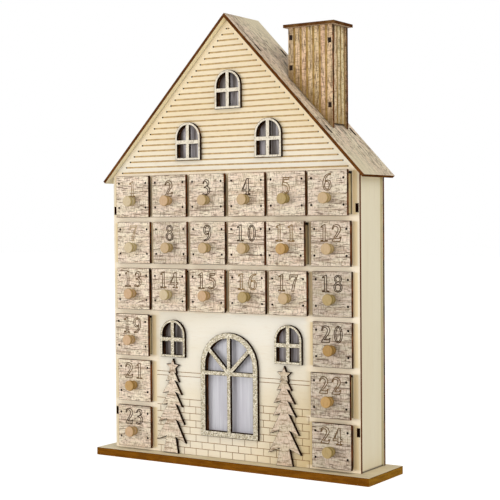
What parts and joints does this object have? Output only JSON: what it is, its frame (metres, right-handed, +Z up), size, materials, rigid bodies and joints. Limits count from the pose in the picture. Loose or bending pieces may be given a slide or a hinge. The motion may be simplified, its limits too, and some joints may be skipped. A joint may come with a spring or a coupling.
{
  "type": "light-up advent calendar",
  "caption": "Gabled wooden house on a base board, with numbered pull-out drawers, arched windows lit from inside by a battery light string, two fir trees and a chimney.",
  "frame": {"origin": "middle of the base board's underside", "axes": "+Z up, the drawers face -Y, +X to the right seen from the front"},
  "size_m": [0.3208, 0.0772, 0.4479],
  "materials": {
    "plywood": "bare basswood plywood, satin",
    "fibreboard": "brown fibreboard with a pale top",
    "dark_printed_plywood": "printed weathered grain, matt",
    "printed_plywood": "printed limed grain, matt",
    "whitewashed_plywood": "whitewashed, matt",
    "glitter_board": "fine champagne glitter",
    "frosted_sheet": "frosted, translucent",
    "black_plastic": "black, fine texture",
    "cell_jacket": "plain printed jacket",
    "clear_wire": "clear insulation over wire"
  },
  "bodies": {
    "house": {"attic_sheet": "frosted_sheet", "back_panel": "plywood", "base_board": "fibreboard", "battery_box": "black_plastic", "battery_lower": "cell_jacket", "battery_upper": "cell_jacket", "chimney_back": "dark_printed_plywood", "chimney_cap": "dark_printed_plywood", "chimney_front": "dark_printed_plywood", "chimney_left": "dark_printed_plywood", "chimney_right": "dark_printed_plywood", "divider_left": "plywood", "divider_middle": "plywood", "divider_right": "plywood", "front_panel": "plywood", "gable_window_left": "whitewashed_plywood", "gable_window_right": "whitewashed_plywood", "gable_window_top": "whitewashed_plywood", "large_window_frame": "glitter_board", "light_string": "clear_wire", "lower_window_left": "glitter_board", "lower_window_right": "glitter_board", "rack_left": "plywood", "rack_right": "plywood", "roof_board_left": "dark_printed_plywood", "roof_board_right": "dark_printed_plywood", "room_ceiling": "plywood", "room_sheet": "frosted_sheet", "shelf_middle": "plywood", "shelf_upper": "plywood", "side_panel_left": "plywood", "side_panel_right": "plywood", "tree_left": "whitewashed_plywood", "tree_right": "whitewashed_plywood"},
    "drawer_01": {"drawer_01": "printed_plywood"},
    "drawer_02": {"drawer_02": "printed_plywood"},
    "drawer_03": {"drawer_03": "printed_plywood"},
    "drawer_04": {"drawer_04": "printed_plywood"},
    "drawer_05": {"drawer_05": "printed_plywood"},
    "drawer_06": {"drawer_06": "printed_plywood"},
    "drawer_07": {"drawer_07": "printed_plywood"},
    "drawer_08": {"drawer_08": "printed_plywood"},
    "drawer_09": {"drawer_09": "printed_plywood"},
    "drawer_10": {"drawer_10": "printed_plywood"},
    "drawer_11": {"drawer_11": "printed_plywood"},
    "drawer_12": {"drawer_12": "printed_plywood"},
    "drawer_13": {"drawer_13": "printed_plywood"},
    "drawer_14": {"drawer_14": "printed_plywood"},
    "drawer_15": {"drawer_15": "printed_plywood"},
    "drawer_16": {"drawer_16": "printed_plywood"},
    "drawer_17": {"drawer_17": "printed_plywood"},
    "drawer_18": {"drawer_18": "printed_plywood"},
    "drawer_19": {"drawer_19": "printed_plywood"},
    "drawer_20": {"drawer_20": "printed_plywood"},
    "drawer_21": {"drawer_21": "printed_plywood"},
    "drawer_22": {"drawer_22": "printed_plywood"},
    "drawer_23": {"drawer_23": "printed_plywood"},
    "drawer_24": {"drawer_24": "printed_plywood"},
    "battery_cover": {"battery_cover": "black_plastic"},
    "switch_slider": {"switch_slider": "black_plastic"}
  },
  "joints": [
    {"name": "drawer_01_slide", "type": "slide", "parent": "house", "child": "drawer_01", "axis": [0, -1, 0], "range_m": [-0.0015, 0.039]},
    {"name": "drawer_02_slide", "type": "slide", "parent": "house", "child": "drawer_02", "axis": [0, -1, 0], "range_m": [-0.0015, 0.039]},
    {"name": "drawer_03_slide", "type": "slide", "parent": "house", "child": "drawer_03", "axis": [0, -1, 0], "range_m": [-0.002, 0.0385]},
    {"name": "drawer_04_slide", "type": "slide", "parent": "house", "child": "drawer_04", "axis": [0, -1, 0], "range_m": [-0.0018, 0.0387]},
    {"name": "drawer_05_slide", "type": "slide", "parent": "house", "child": "drawer_05", "axis": [0, -1, 0], "range_m": [-0.004, 0.0365]},
    {"name": "drawer_06_slide", "type": "slide", "parent": "house", "child": "drawer_06", "axis": [0, -1, 0], "range_m": [-0.0075, 0.033]},
    {"name": "drawer_07_slide", "type": "slide", "parent": "house", "child": "drawer_07", "axis": [0, -1, 0], "range_m": [0, 0.0405]},
    {"name": "drawer_08_slide", "type": "slide", "parent": "house", "child": "drawer_08", "axis": [0, -1, 0], "range_m": [-0.0005, 0.04]},
    {"name": "drawer_09_slide", "type": "slide", "parent": "house", "child": "drawer_09", "axis": [0, -1, 0], "range_m": [-0.001, 0.0395]},
    {"name": "drawer_10_slide", "type": "slide", "parent": "house", "child": "drawer_10", "axis": [0, -1, 0], "range_m": [-0.0025, 0.038]},
    {"name": "drawer_11_slide", "type": "slide", "parent": "house", "child": "drawer_11", "axis": [0, -1, 0], "range_m": [-0.0065, 0.034]},
    {"name": "drawer_12_slide", "type": "slide", "parent": "house", "child": "drawer_12", "axis": [0, -1, 0], "range_m": [-0.0022, 0.0383]},
    {"name": "drawer_13_slide", "type": "slide", "parent": "house", "child": "drawer_13", "axis": [0, -1, 0], "range_m": [-0.0015, 0.039]},
    {"name": "drawer_14_slide", "type": "slide", "parent": "house", "child": "drawer_14", "axis": [0, -1, 0], "range_m": [-0.003, 0.0375]},
    {"name": "drawer_15_slide", "type": "slide", "parent": "house", "child": "drawer_15", "axis": [0, -1, 0], "range_m": [-0.0025, 0.038]},
    {"name": "drawer_16_slide", "type": "slide", "parent": "house", "child": "drawer_16", "axis": [0, -1, 0], "range_m": [-0.0015, 0.039]},
    {"name": "drawer_17_slide", "type": "slide", "parent": "house", "child": "drawer_17", "axis": [0, -1, 0], "range_m": [-0.0025, 0.038]},
    {"name": "drawer_18_slide", "type": "slide", "parent": "house", "child": "drawer_18", "axis": [0, -1, 0], "range_m": [0, 0.0405]},
    {"name": "drawer_19_slide", "type": "slide", "parent": "house", "child": "drawer_19", "axis": [0, -1, 0], "range_m": [-0.004, 0.0365]},
    {"name": "drawer_20_slide", "type": "slide", "parent": "house", "child": "drawer_20", "axis": [0, -1, 0], "range_m": [0, 0.0405]},
    {"name": "drawer_21_slide", "type": "slide", "parent": "house", "child": "drawer_21", "axis": [0, -1, 0], "range_m": [-0.001, 0.0395]},
    {"name": "drawer_22_slide", "type": "slide", "parent": "house", "child": "drawer_22", "axis": [0, -1, 0], "range_m": [-0.0045, 0.036]},
    {"name": "drawer_23_slide", "type": "slide", "parent": "house", "child": "drawer_23", "axis": [0, -1, 0], "range_m": [-0.0015, 0.039]},
    {"name": "drawer_24_slide", "type": "slide", "parent": "house", "child": "drawer_24", "axis": [0, -1, 0], "range_m": [-0.0025, 0.038]},
    {"name": "battery_cover_slide", "type": "slide", "parent": "house", "child": "battery_cover", "axis": [1, 0, 0], "range_m": [0, 0.054]},
    {"name": "switch_slide", "type": "slide", "parent": "house", "child": "switch_slider", "axis": [0, 0, 1], "range_m": [0, 0.003]}
  ]
}
